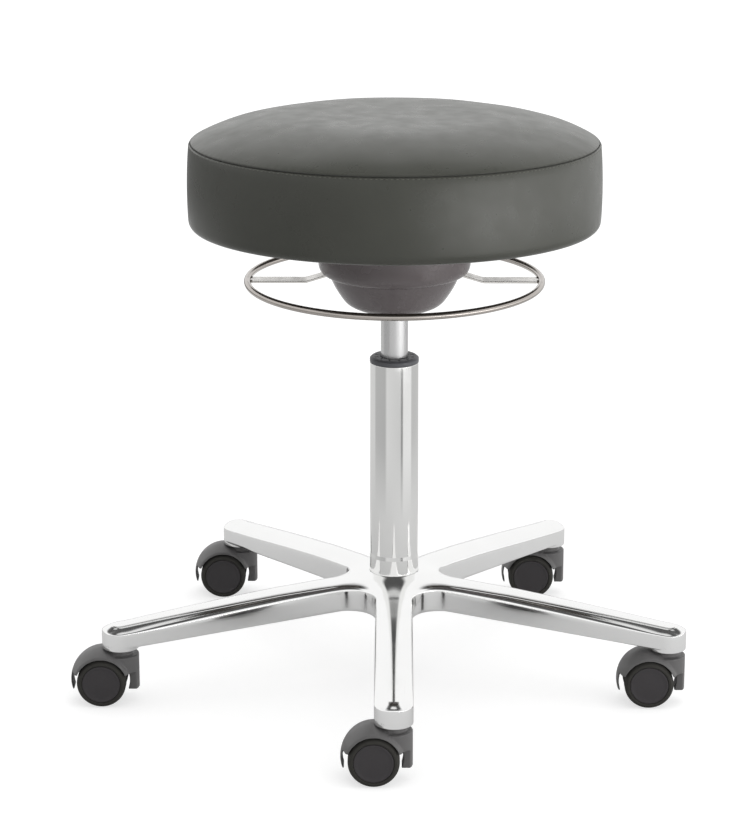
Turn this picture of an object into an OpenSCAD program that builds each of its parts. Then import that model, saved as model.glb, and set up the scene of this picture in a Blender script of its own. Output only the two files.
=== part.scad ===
// Height-adjustable balance stool on five castors.
// Millimetres, +Z up. The origin is on the floor below the column's axis, and the front arm points along -Y.

/* [Seat] */
// Widest diameter of the upholstered seat
seat_d = 421; // [400:1:460]
// Height of the side band, from the underside of the seat to the seam
seat_side_h = 88; // [70:1:110]
// Rise of the crowned top above the seam
seat_crown = 26; // [15:1:45]
// Lean back of the seat at rest, within the play of the balance joint, in degrees
seat_lean = 2; // [0:0.1:4]
// Thickness of the upholstery
cover_t = 1.5; // [1:0.1:3]
// Thickness of the plywood board
board_t = 12; // [10:1:18]
// Reach of the steel plate past the housing, all round
plate_over = 17; // [15:1:50]
// Thickness of the steel plate
plate_t = 3; // [2:0.5:5]
// Furthest tilt of the balance joint each way, in degrees
tilt_max = 6; // [3:0.5:7]

/* [Housing and ring lever] */
// Largest diameter of the upper cup of the housing
cup_d = 156; // [130:1:185]
// Diameter of the joint between the upper cup and the lower bowl, as a share of the cup's
tier_share = 0.846; // [0.83:0.001:0.89]
// Height of the lower bowl
bowl_h = 37; // [36:1:45]
// Wall of the plastic housing
shell_t = 3; // [2:0.5:3.5]
// Diameter of the ring lever, across the middle of its wire
ring_d = 298.6; // [240:1:340]
// Diameter of the ring lever's wire
wire_d = 7; // [5:0.5:10]
// Width of the two flat spokes
spoke_w = 20; // [14:1:26]
// Thickness of the two flat spokes
spoke_t = 2; // [1.5:0.5:2.5]
// Upward travel of the ring lever
ring_lift = 5; // [3:0.5:5]

/* [Column and gas spring] */
// Diameter of the column tube
column_d = 50; // [48:1:54]
// Visible length of the column tube
column_len = 225.5; // [200:1:300]
// Wall of the column tube
column_t = 2; // [1.5:0.25:3]
// Height of the plastic collar on the column
collar_h = 6; // [4:0.5:10]
// Diameter of the gas spring's pressure tube
tube_d = 28; // [27:0.5:29]
// Length of the pressure tube that shows at the lowest setting
tube_show = 49.5; // [30:0.5:80]
// Height travel of the gas spring
stroke = 140; // [90:5:145]
// Diameter of the piston rod
rod_d = 10; // [8:0.5:11]

/* [Base] */
// Radius of the circle on which the castor stems stand
base_r = 293; // [260:1:320]
// Width of the arms
arm_w = 38; // [36:1:42]
// Side height of an arm where it meets its boss
arm_end_h = 21; // [18:0.5:23]
// Side height of an arm where it meets the hub
arm_root_h = 33; // [30:0.5:34]
// Height of the boss at the end of each arm
boss_h = 24; // [23.5:0.5:28]
// Height of the hub's top above the undersides of the bosses
hub_h = 52; // [44:0.5:60]
// Radius of the round webs between the arms
web_r = 28; // [20:1:36]

/* [Castors] */
// Diameter of a castor wheel
wheel_d = 50; // [46:1:52]
// Width of a castor wheel
wheel_w = 17; // [14:0.5:20]
// Height of the undersides of the bosses above the floor
castor_h = 58; // [57:0.5:66]
// Distance of the wheel axle behind the stem
castor_trail = 19; // [17:0.5:21]
// Diameter of the hard centre of a wheel
core_d = 39; // [32:1:42]
// Diameter of the castor stem in the arm
stem_d = 11; // [10:0.5:12]

/* [Hidden] */
arms = 5;
$fn = 64;

// Clearances and small shared sizes
press = 0.02;          // pressed fits
run = 0.05;            // radial running fit
rest_gap = 0.1;        // between flat faces that turn or rest on each other
gap = 0.3;             // between pieces that move past each other
cut = 1;               // overrun of a cut
arm_step = 360 / arms;
front_angle = -90;

// Heights, from the floor up
z_boss_top = castor_h + boss_h;
z_hub = castor_h + hub_h;
z_arm_end = z_boss_top - arm_end_h;
z_arm_root = z_hub - arm_root_h;
z_collar = z_hub + column_len;
z_collar_top = z_collar + collar_h;
z_bowl = z_collar_top + tube_show;
z_tier = z_bowl + bowl_h;
pivot_rise = 28;
plate_rise = 18.5;
z_pivot = z_tier + pivot_rise;
z_plate = z_pivot + plate_rise;
z_board = z_plate + plate_t;
plate_d = cup_d + 2 * plate_over;
tier_d = cup_d * tier_share;
z_seat = z_board - cover_t;
z_seam = z_seat + seat_side_h;
tilt_both = acos(pow(cos(tilt_max), 2));

// Base
boss_d = arm_w + 2 * gap;
boss_round = 6;
arm_round = 8;
arm_skin = 5;
arm_slope = atan((z_hub - z_boss_top) / (base_r - column_d / 2));
flare_r = 14;
stem_bore = 21;
pocket_end = base_r - boss_d / 2 - arm_skin;
web_foot = (arm_w / 2 + web_r) / tan(arm_step / 2);
web_middle = (arm_w / 2 + web_r - gap) / sin(arm_step / 2);
web_h = arm_root_h - arm_round - (web_foot - column_d / 2) * tan(arm_slope) - gap;

// Column and gas spring
spigot_step = 2.5;
spigot_r = column_d / 2 - spigot_step;
spigot_cone = 0.7;
spigot_wall = 2;
floor_t = 3;
z_floor = z_arm_root;
hub_foot = 2;
z_hub_bottom = z_floor - hub_foot;
bearing_washer = 1.5;
ball_d = 3;
bearing_play = 1;
bearing_w = 9;
bearing_in = rod_d / 2 + bearing_play;
bearing_out = bearing_in + bearing_w;
balls = 12;
z_bearing = z_floor + floor_t + rest_gap;
z_rod_collar = z_bearing + 2 * bearing_washer + ball_d;
rod_collar_h = 3;
rod_collar_w = 3;
z_tube = z_rod_collar + 2 * rod_collar_h;
tube_wall = 2;
gland_h = 10;
piston_h = 10;
piston_margin = 13;
z_piston = z_tube + gland_h + stroke + piston_margin;
sleeve_len = 80;
clip_t = 1.5;
clip_groove = 1;
clip_w = 4;
clip_mouth_share = 0.7;
z_clip = z_floor - rest_gap - clip_t;
rod_tail = 3;
cone_in = 0.6;
taper_rise = 5;
z_taper = z_bowl + taper_rise;
socket_rise = 6;
z_socket_top = z_tier + socket_rise;
valve_h = 30;
pin_r = 3;
pin_show = 4.2;
pin_foot = 6;
pin_steps = 4;

// Mechanism
socket_wall = 8;
flange_t = 4;
flange_drop = 16;
z_flange = z_tier - flange_drop;
disc_t = 8;
ear_share = 0.4621;
ear_in = ear_share * tier_d / 2;
ear_t = 8;
ear_half = 9;
disc_edge = 1.5;
disc_r = ear_in + ear_t + disc_edge;
cross_w = 10.5;
cross_in = ear_in - cross_w;
cross_gap = 0.8;
cross_half = 7;
pivot_pin_r = 4;
bush_t = 2;
carrier_play = 2;
carrier_in = disc_r + carrier_play;
carrier_margin = 8;
carrier_out = tier_d / 2 - carrier_margin;
carrier_drop = 4.5;
z_carrier = z_socket_top - carrier_drop;
ring_drop = 7;
z_ring = z_tier - ring_drop;
bend_out = 12;
spoke_bend = cup_d / 2 + bend_out;
post_r = 4;
post_over = 1;
post_in = 5;
post_at = carrier_in + post_in;
flange_r = post_at + post_r - post_over;
post_angles = [90, 210, 330];
rocker_turn = 45;
rocker_w = 11.8;
rocker_t = 4;
rocker_pivot = 16;
nose_in = 2;
rocker_reach = (carrier_in + carrier_out) / 2 - nose_in;
rocker_end = 6;
nose_r = 3;
rocker_pin_r = 2.5;
rocker_boss_r = 4.5;
lug_t = 3;
z_rocker = z_socket_top + pin_show + gap;
z_rocker_pivot = z_rocker + rocker_t / 2;
z_nose = z_carrier + spoke_t + gap + nose_r;

// Housing
z_tilted = z_pivot + plate_rise * cos(tilt_both);
rim_margin = 2.8;
z_rim = z_tilted - cup_d / 2 * sin(tilt_both) - rim_margin;
shelf_over = 2;
shelf_t = 3;
shelf_rise = 16;
z_shelf = z_tier + shelf_rise;
stop_w = 12;
stop_play = 1;
stop_margin = 0.9;
stop_out = cup_d / 2 - shell_t - stop_play;
shelf_in = stop_out - stop_w - shelf_over;
z_stop_top = z_tilted - stop_out * sin(tilt_both) - stop_margin;
bowl_shares = [[0.4961, 0.035], [0.3532, 0.115], [0.2411, 0.23], [0.1345, 0.5], [0, 1]];
cup_shares = [[0, 0], [0.35, 0.045], [0.7, 0.2], [0.9, 0.45], [0.94, 0.75]];
cup_foot_share = 0.11;
bowl_floor_share = 0.4242;
bowl_floor_r = bowl_floor_share * tier_d / 2;
spigot_up = 3;
cover_post_r = 5;
cover_post_in = 9;
cover_post_at = flange_r - cover_post_in;
cover_screw_angles = [60, 180, 300];
screw_r = 2;
screw_head_r = 3.5;
screw_head_h = 3;
screw_len = 12;

// Seat
seat_r = seat_d / 2;
edge_r = 10;
seam_in = 2;
seam_groove = 0.8;
belly_share = 0.4;
crown_power = 5;
board_r = seat_r - edge_r - cover_t;
hem = 35;
side_steps = 14;
crown_steps = 24;
seat_screw_margin = 9;
seat_screw_at = cup_d / 2 + seat_screw_margin;
seat_screw_r = 3;
seat_screw_head_r = 5;
seat_screw_head_h = 3;
seat_screw_cover = 3;
seat_screw_bite = board_t - seat_screw_cover;

// Castors
web_half = 5.5;
web_boss_r = 7;
web_r_out = 20;
web_gap = 1;
wheel_in = web_half + web_gap;
wheel_out = wheel_in + wheel_w;
axle_r = 3;
axle_cap = 3;
tread_round = 3;
hood_gap = 1;
hood_edge = 1.5;
hood_crown = 4.8;
hood_steps = 6;
hood_top_r = wheel_d / 2 + hood_gap + hood_edge + hood_crown;
hood_front_r = 18.5;
hood_slot = 5;
hood_leg_half = 9;
hood_neck_r = 12;
stem_flange_r = 10;
stem_flange_h = 2;
pintle_r = 4;
pintle_len = 20;
z_wheel = wheel_d / 2;
z_stem_flange = castor_h - stem_flange_h;
hood_neck_h = 4.5;
leg_drop = 10;
notch_rise = 9;
z_hood_top = z_stem_flange - hood_neck_h;
z_leg = z_wheel - leg_drop;
z_notch = z_wheel + notch_rise;

// Helpers
function arc(x, y, r, from, to, n) =
    [for (i = [0:n]) [x + r * cos(from + (to - from) * i / n), y + r * sin(from + (to - from) * i / n)]];

function reverse(list) = [for (i = [len(list) - 1:-1:0]) list[i]];

module revolve(points) { rotate_extrude() polygon(points); }

module ring(r_in, r_out, z, h) {
    translate([0, 0, z]) difference() {
        cylinder(r = r_out, h = h);
        translate([0, 0, -cut]) cylinder(r = r_in, h = h + 2 * cut);
    }
}

module around_y(y, h, r) { translate([0, y + h, 0]) rotate([90, 0, 0]) cylinder(r = r, h = h); }

module leaned() {
    translate([0, 0, z_pivot]) rotate([-seat_lean, 0, 0]) translate([0, 0, -z_pivot]) children();
}

module at_arm(k) { rotate([0, 0, front_angle + arm_step * (k - 1)]) children(); }

module at_stem(k) {
    angle = front_angle + arm_step * (k - 1);
    translate([base_r * cos(angle), base_r * sin(angle), 0]) children();
}

module at_wheel(k) { at_stem(k) translate([-castor_trail, 0, z_wheel]) children(); }

// Base casting
module arm_section(depth) {
    polygon(concat([[-arm_w / 2, -depth], [arm_w / 2, -depth]],
        arc(arm_w / 2 - arm_round, -arm_round, arm_round, 0, 90, 6),
        arc(arm_round - arm_w / 2, -arm_round, arm_round, 90, 180, 6)));
}

module arm_bar() {
    length = base_r / cos(arm_slope);
    intersection() {
        translate([base_r, 0, z_boss_top]) rotate([0, arm_slope, 0]) translate([-length, 0, 0])
            rotate([90, 0, 90]) linear_extrude(length) arm_section(arm_root_h + arm_end_h);
        translate([0, arm_w, 0]) rotate([90, 0, 0]) linear_extrude(2 * arm_w) polygon([[0, z_arm_root],
            [web_foot, z_arm_root], [base_r, z_arm_end], [base_r, z_hub + cut], [0, z_hub + cut]]);
    }
}

module arm_pocket() {
    depth = arm_root_h + arm_end_h;
    translate([base_r, 0, z_boss_top]) rotate([0, arm_slope, 0])
        translate([web_foot - base_r, -arm_w / 2 + arm_skin, -arm_skin - depth])
            cube([pocket_end - web_foot, arm_w - 2 * arm_skin, depth]);
}

module web() {
    foot = [web_foot * cos(arm_step / 2), web_foot * sin(arm_step / 2)];
    translate([0, 0, z_arm_root]) rotate([0, 0, arm_step / 2]) linear_extrude(web_h) difference() {
        polygon([[0, 0], [foot[0], -foot[1]], foot]);
        translate([web_middle, 0]) circle(r = web_r);
    }
}

module boss() {
    revolve(concat([[0, castor_h], [boss_d / 2, castor_h]],
        arc(boss_d / 2 - boss_round, z_boss_top - boss_round, boss_round, 0, 90, 6), [[0, z_boss_top]]));
}

module hub() {
    rim = column_d / 2 + 2 * gap;
    revolve(concat([[0, z_hub_bottom], [rim + arm_skin, z_hub_bottom], [rim + arm_skin, z_arm_root + cut],
        [rim + flare_r, z_arm_root + cut]],
        arc(rim + flare_r, z_hub, flare_r, 270, 180, 8), [[0, z_hub]]));
}

module base_star() {
    color("silver") difference() {
        union() {
            for (k = [1:arms]) at_arm(k) {
                arm_bar();
                web();
                translate([base_r, 0, 0]) boss();
            }
            hub();
        }
        for (k = [1:arms]) at_arm(k) {
            arm_pocket();
            translate([base_r, 0, castor_h - cut]) cylinder(r = stem_d / 2 + press, h = stem_bore + cut);
        }
        revolve([[0, z_hub_bottom - cut], [spigot_r - spigot_cone + press, z_hub_bottom - cut],
            [spigot_r - spigot_cone + press, z_floor], [spigot_r + press, z_hub],
            [column_d / 2 + gap, z_hub], [column_d / 2 + gap, z_hub + arm_round], [0, z_hub + arm_round]]);
    }
}

// Column
module column_tube() {
    bore = column_d / 2 - column_t;
    color("gainsboro") revolve([[rod_d / 2 + gap, z_floor], [spigot_r - spigot_cone, z_floor],
        [spigot_r, z_hub], [column_d / 2, z_hub], [column_d / 2, z_collar], [bore, z_collar],
        [bore, z_hub + column_t], [spigot_r - spigot_wall, z_hub],
        [spigot_r - spigot_cone - spigot_wall, z_floor + floor_t], [rod_d / 2 + gap, z_floor + floor_t]]);
}

module guide_bush() {
    r_in = tube_d / 2 + run;
    r_out = column_d / 2 - column_t - press;
    round = collar_h / 3;
    slots = 12;
    slot_w = 2;
    slot_depth = collar_h / 4;
    color("dimgray") difference() {
        revolve(concat([[r_in, z_collar - sleeve_len], [r_out, z_collar - sleeve_len], [r_out, z_collar],
            [column_d / 2, z_collar]],
            arc(column_d / 2 - round, z_collar_top - round, round, 0, 90, 6), [[r_in, z_collar_top]]));
        for (k = [0:slots - 1]) rotate([0, 0, 360 / slots * k])
            translate([r_in + slot_w, -slot_w / 2, z_collar_top - slot_depth])
                cube([slot_w * 2, slot_w, slot_depth + cut]);
    }
}

module castor_stems() {
    color("darkgray") for (k = [1:arms]) at_stem(k) {
        translate([0, 0, castor_h]) cylinder(r = stem_d / 2, h = stem_bore - press);
        translate([0, 0, z_stem_flange]) cylinder(r = stem_flange_r, h = stem_flange_h);
        translate([0, 0, z_stem_flange - pintle_len]) cylinder(r = pintle_r, h = pintle_len);
    }
}

// Gas spring
module piston_rod() {
    groove = rod_d / 2 - clip_groove;
    shoulder = rod_d / 2 + rod_collar_w;
    r = rod_d / 2;
    color("silver") revolve([[0, z_clip - rod_tail], [r, z_clip - rod_tail], [r, z_clip - press],
        [groove, z_clip - press], [groove, z_clip + clip_t + press], [r, z_clip + clip_t + press],
        [r, z_rod_collar], [shoulder, z_rod_collar], [shoulder, z_rod_collar + rod_collar_h],
        [r, z_rod_collar + rod_collar_h], [r, z_piston + piston_h], [0, z_piston + piston_h]]);
}

module piston() {
    color("black") ring(rod_d / 2 + press, tube_d / 2 - tube_wall - run, z_piston, piston_h);
}

module thrust_bearing() {
    middle = (bearing_in + bearing_out) / 2;
    color("gray") {
        ring(bearing_in, bearing_out, z_bearing, bearing_washer);
        ring(bearing_in, bearing_out, z_bearing + bearing_washer + ball_d, bearing_washer);
        for (k = [0:balls - 1]) rotate([0, 0, 360 / balls * k])
            translate([middle, 0, z_bearing + bearing_washer + ball_d / 2]) sphere(d = ball_d - press);
    }
}

module rod_clip() {
    mouth = rod_d * clip_mouth_share;
    color("dimgray") difference() {
        ring(rod_d / 2 - clip_groove + press, rod_d / 2 + clip_w, z_clip, clip_t);
        translate([0, -mouth / 2, z_clip - cut]) cube([rod_d + mouth, mouth, clip_t + 2 * cut]);
    }
}

module pressure_tube() {
    r = tube_d / 2;
    bore = r - tube_wall;
    z_chamber = z_socket_top - valve_h;
    color("silver") revolve([[bore, z_tube], [r, z_tube], [r, z_taper], [r - cone_in, z_socket_top],
        [pin_r + run, z_socket_top], [pin_r + run, z_chamber], [bore, z_chamber - tube_wall]]);
}

module tube_gland() {
    color("black") ring(rod_d / 2 + run, tube_d / 2 - tube_wall - press, z_tube, gland_h);
}

module release_pin() {
    z_low = z_socket_top - valve_h + pin_foot;
    dome = pin_r * 2;
    fall = dome - sqrt(dome * dome - pin_r * pin_r);
    z_top = z_socket_top + pin_show;
    color("silver") revolve(concat([[0, z_low], [pin_r, z_low], [pin_r, z_top - fall]],
        [for (i = [1:pin_steps]) let (r = pin_r * (1 - i / pin_steps))
            [r, z_top - dome + sqrt(dome * dome - r * r)]]));
}

// Mechanism
module ear(z_low, z_high, bore) {
    difference() {
        union() {
            translate([ear_in, -ear_half, z_low]) cube([ear_t, 2 * ear_half, z_high - z_low]);
            translate([ear_in, 0, z_pivot]) rotate([0, 90, 0]) cylinder(r = ear_half, h = ear_t);
        }
        translate([ear_in - cut, 0, z_pivot]) rotate([0, 90, 0]) cylinder(r = bore, h = ear_t + 2 * cut);
    }
}

module rocker_lug() {
    difference() {
        union() {
            translate([rocker_pivot - rocker_boss_r, 0, z_socket_top - cut])
                cube([2 * rocker_boss_r, lug_t, z_rocker_pivot - z_socket_top + cut]);
            translate([rocker_pivot, 0, z_rocker_pivot]) around_y(0, lug_t, rocker_boss_r);
        }
        translate([rocker_pivot, 0, z_rocker_pivot]) around_y(-cut, lug_t + 2 * cut, rocker_pin_r + press);
    }
}

module mech_socket() {
    r = tube_d / 2 + press;
    hub_r = tube_d / 2 + socket_wall;
    z_low = z_bowl + shell_t;
    lug_at = rocker_w / 2 + gap;
    color("slategray") difference() {
        union() {
            revolve([[r, z_low], [hub_r, z_low], [hub_r, z_flange], [flange_r, z_flange],
                [flange_r, z_flange + flange_t], [hub_r, z_flange + flange_t], [hub_r, z_socket_top - disc_t],
                [disc_r, z_socket_top - disc_t], [disc_r, z_socket_top], [r - cone_in, z_socket_top],
                [r, z_taper]]);
            for (turn = [0, 180]) rotate([0, 0, turn])
                ear(z_socket_top - cut, z_pivot, pivot_pin_r + bush_t + press);
            for (a = post_angles) rotate([0, 0, a]) translate([post_at, 0, z_flange + flange_t])
                cylinder(r = post_r, h = z_carrier - rest_gap - z_flange - flange_t);
            rotate([0, 0, rocker_turn]) {
                translate([0, lug_at, 0]) rocker_lug();
                translate([0, -lug_at - lug_t, 0]) rocker_lug();
            }
        }
        for (a = cover_screw_angles) rotate([0, 0, a]) translate([cover_post_at, 0, z_flange - cut])
            cylinder(r = screw_r + press, h = flange_t + 2 * cut);
        translate([0, 0, z_taper]) cylinder(r = r - cone_in, h = z_socket_top - z_taper);
    }
}

module bushes() {
    for (turn = [0, 180]) rotate([0, 0, turn]) translate([ear_in, 0, z_pivot]) rotate([0, 90, 0])
        ring(pivot_pin_r + run, pivot_pin_r + bush_t, 0, ear_t);
}

module socket_bushes() { color("black") bushes(); }

module rocker_pin() {
    length = rocker_w + 2 * (gap + lug_t);
    color("silver") rotate([0, 0, rocker_turn]) translate([rocker_pivot, 0, z_rocker_pivot])
        around_y(-length / 2, length, rocker_pin_r);
}

module release_rocker() {
    nose_top = z_rocker + rocker_t - z_nose;
    color("darkgray") rotate([0, 0, rocker_turn]) translate([0, -rocker_w / 2, 0]) difference() {
        union() {
            translate([-rocker_end, 0, z_rocker])
                cube([rocker_reach + nose_r + rocker_end, rocker_w, rocker_t]);
            translate([rocker_pivot, 0, z_rocker_pivot]) around_y(0, rocker_w, rocker_boss_r);
            translate([rocker_reach, 0, z_nose]) around_y(0, rocker_w, nose_r);
            translate([rocker_reach - nose_r, 0, z_nose]) cube([2 * nose_r, rocker_w, nose_top]);
        }
        translate([rocker_pivot, 0, z_rocker_pivot]) around_y(-cut, rocker_w + 2 * cut, rocker_pin_r + run);
    }
}

module gimbal_cross() {
    color("slategray") leaned() difference() {
        ring(cross_in, ear_in - cross_gap, z_pivot - cross_half, 2 * cross_half);
        for (turn = [0, 90]) rotate([0, 0, turn]) translate([-ear_in, 0, z_pivot]) rotate([0, 90, 0])
            cylinder(r = pivot_pin_r + press, h = 2 * ear_in);
    }
}

module gimbal_pins() {
    color("silver") leaned() for (turn = [0:90:270]) rotate([0, 0, turn])
        translate([cross_in, 0, z_pivot]) rotate([0, 90, 0])
            cylinder(r = pivot_pin_r, h = ear_in + ear_t - cross_in);
}

// Ring lever
module ring_wire() {
    color("lightgray") translate([0, 0, z_ring]) rotate_extrude()
        translate([ring_d / 2, 0]) circle(d = wire_d);
}

module spoke() {
    rise = z_carrier + spoke_t / 2 - z_ring;
    half = spoke_t / 2;
    r = ring_d / 2;
    translate([0, spoke_w / 2, z_ring]) rotate([90, 0, 0]) linear_extrude(spoke_w) polygon([
        [carrier_out - cut, rise - half], [carrier_out, rise - half], [spoke_bend, -half], [r, -half],
        [r, half], [spoke_bend, half], [carrier_out, rise + half], [carrier_out - cut, rise + half]]);
}

module lever_spokes() {
    color("lightgray") difference() {
        union() {
            ring(carrier_in, carrier_out, z_carrier, spoke_t);
            for (turn = [0, 180]) rotate([0, 0, turn]) spoke();
        }
        translate([0, 0, z_ring]) rotate_extrude() translate([ring_d / 2, 0]) circle(r = wire_d / 2 + press);
        ring(ring_d / 2, ring_d, z_ring - wire_d, 2 * wire_d);
    }
}

// Housing
module spoke_slots() {
    wide = spoke_w + 4 * gap;
    low = z_ring + spoke_t + cut;
    high = z_carrier + spoke_t + ring_lift + 2 * gap;
    for (turn = [0, 180]) rotate([0, 0, turn])
        translate([carrier_out, -wide / 2, low]) cube([cup_d / 2, wide, high - low]);
}

// Points on the outside of the bowl and of the cup
function bowl_point(i) = [tier_d / 2 * (1 - bowl_shares[i][0]), z_bowl + bowl_shares[i][1] * bowl_h];
function cup_point(i) = [tier_d / 2 + cup_shares[i][0] * (cup_d - tier_d) / 2,
    z_tier + cup_shares[i][1] * cup_foot_share * cup_d];

module bowl_cover() {
    t = shell_t;
    spigot_out = tier_d / 2 - t - press;
    spigot_in = tier_d / 2 - 2 * t;
    hole = tube_d / 2 + gap + cut;
    outside = concat([[hole, z_bowl], [bowl_floor_r, z_bowl]], [for (i = [0:4]) bowl_point(i)]);
    color("rosybrown") difference() {
        union() {
            revolve(concat(outside, [[spigot_out, z_tier], [spigot_out, z_tier + spigot_up],
                [spigot_in, z_tier + spigot_up], [spigot_in, z_tier - t], bowl_point(3) - [t, 0],
                bowl_point(2) - [t, -t / 2], [bowl_floor_r, z_bowl + t], [hole, z_bowl + t]]));
            intersection() {
                revolve(concat(outside, [[hole, z_tier]]));
                for (a = cover_screw_angles) rotate([0, 0, a]) translate([cover_post_at, 0, z_bowl])
                    cylinder(r = cover_post_r, h = z_flange - z_bowl);
            }
        }
        for (a = cover_screw_angles) rotate([0, 0, a])
            translate([cover_post_at, 0, z_flange + flange_t - screw_len - cut])
                cylinder(r = screw_r + press, h = screw_len);
        spoke_slots();
    }
}

module cup_cover() {
    t = shell_t;
    color("rosybrown") difference() {
        revolve(concat([[tier_d / 2 - t, z_tier]], [for (i = [0:4]) cup_point(i)],
            [[cup_d / 2, z_rim], [cup_d / 2 - t, z_rim], [cup_d / 2 - t, z_shelf + shelf_t],
            [shelf_in, z_shelf + shelf_t], [shelf_in, z_shelf], [cup_point(4)[0] - t, z_shelf],
            cup_point(3) - [t, -t / 2], [tier_d / 2, z_tier + t]]));
        spoke_slots();
    }
}

module cover_screws() {
    z_head = z_flange + flange_t;
    color("darkgray") for (a = cover_screw_angles) rotate([0, 0, a]) translate([cover_post_at, 0, 0]) {
        translate([0, 0, z_head]) cylinder(r = screw_head_r, h = screw_head_h);
        translate([0, 0, z_head - screw_len]) cylinder(r = screw_r, h = screw_len);
    }
}

module stop_ring() {
    z_low = z_shelf + shelf_t;
    half = stop_w / 2;
    color("black") rotate_extrude() union() {
        translate([stop_out - stop_w, z_low]) square([stop_w, z_stop_top - half - z_low]);
        translate([stop_out - half, z_stop_top - half]) circle(r = half);
    }
}

// Seat
module seat_plate() {
    color("dimgray") leaned() difference() {
        union() {
            translate([0, 0, z_plate]) cylinder(d = plate_d, h = plate_t);
            for (turn = [90, 270]) rotate([0, 0, turn])
                ear(z_pivot, z_plate + cut, pivot_pin_r + bush_t + press);
        }
        for (a = [45:90:315]) rotate([0, 0, a]) translate([seat_screw_at, 0, z_plate - cut])
            cylinder(r = seat_screw_r + press, h = plate_t + 2 * cut);
    }
}

module plate_bushes() { color("black") leaned() rotate([0, 0, 90]) bushes(); }

module seat_board() {
    color([0.24, 0.22, 0.20]) leaned() difference() {
        translate([0, 0, z_board]) cylinder(r = board_r, h = board_t);
        for (a = [45:90:315]) rotate([0, 0, a]) translate([seat_screw_at, 0, z_board - cut])
            cylinder(r = seat_screw_r + press, h = seat_screw_bite + cut);
    }
}

module seat_screws() {
    color("darkgray") leaned() for (a = [45:90:315]) rotate([0, 0, a]) translate([seat_screw_at, 0, 0]) {
        translate([0, 0, z_plate - seat_screw_head_h]) cylinder(r = seat_screw_head_r, h = seat_screw_head_h);
        translate([0, 0, z_plate]) cylinder(r = seat_screw_r, h = plate_t + seat_screw_bite);
    }
}

// Outline of the seat at a depth of d inside its surface: the side, from the underside up to the seam
function side_r(share) = seat_r - seam_in * pow((share - belly_share) / (1 - belly_share), 2);

function side_line(d) = concat(
    arc(side_r(0) - edge_r, z_seat + edge_r, edge_r - d, -90, 0, 6),
    [for (i = [1:side_steps - 1]) let (share = i / side_steps)
        [side_r(share) - d, z_seat + edge_r + (seat_side_h - edge_r) * share]]);

// The crown, from the seam to the middle
seam_r = side_r(1);
function crown_line(d) = [for (i = [1:crown_steps]) let (share = sqrt(cos(90 * i / crown_steps)))
    [(seam_r - d) * share, z_seam + seat_crown * (1 - pow(share, crown_power)) - d]];

module cover_side() {
    groove_r = seam_r - seam_groove;
    color("darkslategray") leaned() revolve(concat([[board_r - hem, z_seat]], side_line(0),
        [[groove_r, z_seam], [seam_r - cover_t, z_seam]], reverse(side_line(cover_t)),
        [[board_r - hem, z_board]]));
}

module cover_top() {
    groove_r = seam_r - seam_groove;
    color("darkslategray") leaned() revolve(concat([[seam_r - cover_t, z_seam], [groove_r, z_seam]],
        crown_line(0), reverse(crown_line(cover_t))));
}

module seat_foam() {
    d = cover_t + press;
    z_top = z_board + board_t + press;
    color("khaki") leaned() revolve(concat([[0, z_top], [board_r + press, z_top],
        [board_r + press, z_board + press]], side_line(d), crown_line(d)));
}

// Castors
module hood_dome() {
    rotate([90, 0, 0]) rotate_extrude() polygon(concat([[0, -wheel_out]],
        [for (i = [-hood_steps:hood_steps]) let (share = i / hood_steps)
            [hood_top_r - hood_crown * share * share, wheel_out * share]], [[0, wheel_out]]));
}

module hood_body() {
    size = 2 * wheel_d;
    intersection() {
        translate([-castor_trail, 0, z_wheel]) hood_dome();
        translate([-size, -size / 2, z_leg]) cube([size, size, size]);
    }
    translate([0, 0, z_leg]) cylinder(r = hood_front_r, h = z_hood_top - z_leg);
    translate([0, 0, z_hood_top - cut]) cylinder(r = hood_neck_r, h = hood_neck_h - rest_gap + cut);
}

// Room for the wheels beside the web, and for their treads below the hood's lower edge
module wheel_wells() {
    size = 2 * wheel_d;
    notch = wheel_d + z_notch - z_wheel;
    for (side = [0, 1]) mirror([0, side, 0]) {
        around_y(web_half, size, wheel_d / 2 + hood_gap);
        translate([-size, hood_leg_half, -wheel_d]) cube([2 * size, size, notch]);
    }
    intersection() {
        difference() {
            around_y(-size, 2 * size, wheel_d / 2 + hood_slot);
            around_y(-web_half, 2 * web_half, web_r_out);
        }
        translate([-wheel_d, -size, -wheel_d]) cube([size, 2 * size, notch]);
    }
}

module castor_hood() {
    boss_half = wheel_in - gap;
    color([0.26, 0.26, 0.27]) difference() {
        union() {
            difference() {
                hood_body();
                translate([-castor_trail, 0, z_wheel]) wheel_wells();
            }
            translate([-castor_trail, 0, z_wheel]) around_y(-boss_half, 2 * boss_half, web_boss_r);
        }
        translate([-castor_trail, 0, z_wheel]) around_y(-wheel_out, 2 * wheel_out, axle_r + press);
        translate([0, 0, z_stem_flange - pintle_len - gap])
            cylinder(r = pintle_r + run, h = pintle_len + 2 * gap + cut);
    }
}

module castor_axle() {
    half = wheel_out - axle_cap - gap;
    color("silver") around_y(-half, 2 * half, axle_r);
}

module wheel_core() {
    cap = 0.8;
    color([0.22, 0.22, 0.23]) rotate([90, 0, 0]) rotate_extrude() polygon([[axle_r + run, wheel_in],
        [core_d / 2, wheel_in], [core_d / 2, wheel_out - cap], [core_d / 2 - cap, wheel_out], [0, wheel_out],
        [0, wheel_out - axle_cap], [axle_r + run, wheel_out - axle_cap]]);
}

module wheel_tread() {
    r = wheel_d / 2;
    r_in = core_d / 2 + press;
    inner = tread_round / 2;
    color([0.33, 0.33, 0.32]) rotate([90, 0, 0]) rotate_extrude() polygon(concat([[r_in, wheel_in]],
        arc(r - inner, wheel_in + inner, inner, -90, 0, 4),
        arc(r - tread_round, wheel_out - tread_round, tread_round, 0, 90, 6), [[r_in, wheel_out]]));
}

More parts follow.
